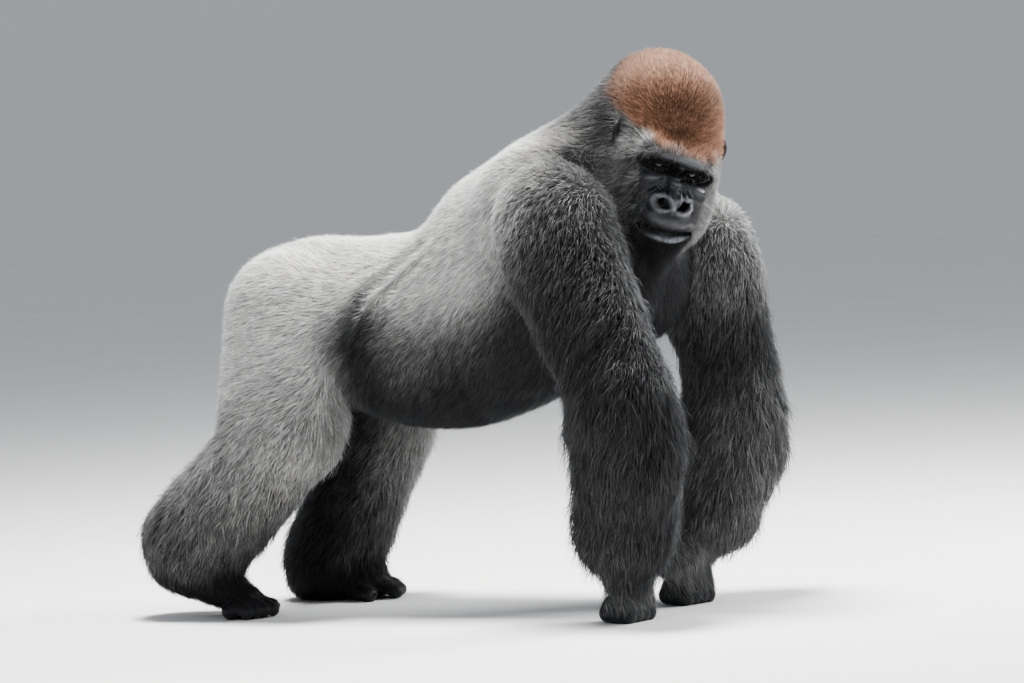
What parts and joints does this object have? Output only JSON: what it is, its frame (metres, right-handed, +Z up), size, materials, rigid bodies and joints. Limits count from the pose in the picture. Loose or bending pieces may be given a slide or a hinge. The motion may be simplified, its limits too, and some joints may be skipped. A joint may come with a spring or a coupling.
{
  "type": "standing gorilla",
  "caption": "Life-size adult male gorilla standing still on its knuckles and soles, head turned to its right, divided into the parts of its body.",
  "frame": {"origin": "on the floor, under the middle of the whole body", "axes": "+X the way the body faces, +Y its left, +Z up"},
  "size_m": [1.4298, 0.8212, 1.2326],
  "materials": {
    "coat_silver": "short dense hair, grizzled",
    "coat_dark": "long black hair with a grey sheen",
    "coat_head": "short dense hair, brown on the crown",
    "bare_skin": "creased and slightly glossy",
    "eye": "wet and glossy"
  },
  "bodies": {
    "root": {"head": "coat_head", "ear_right": "bare_skin", "ear_left": "bare_skin", "eye_right": "eye", "eye_left": "eye", "neck": "coat_dark", "trunk": "coat_silver", "upper_arm_right": "coat_dark", "upper_arm_left": "coat_dark", "forearm_right": "coat_dark", "forearm_left": "coat_dark", "hand_right": "bare_skin", "hand_left": "bare_skin", "thigh_right": "coat_silver", "thigh_left": "coat_silver", "shank_right": "coat_dark", "shank_left": "coat_dark", "foot_right": "bare_skin", "foot_left": "bare_skin"}
  },
  "joints": []
}
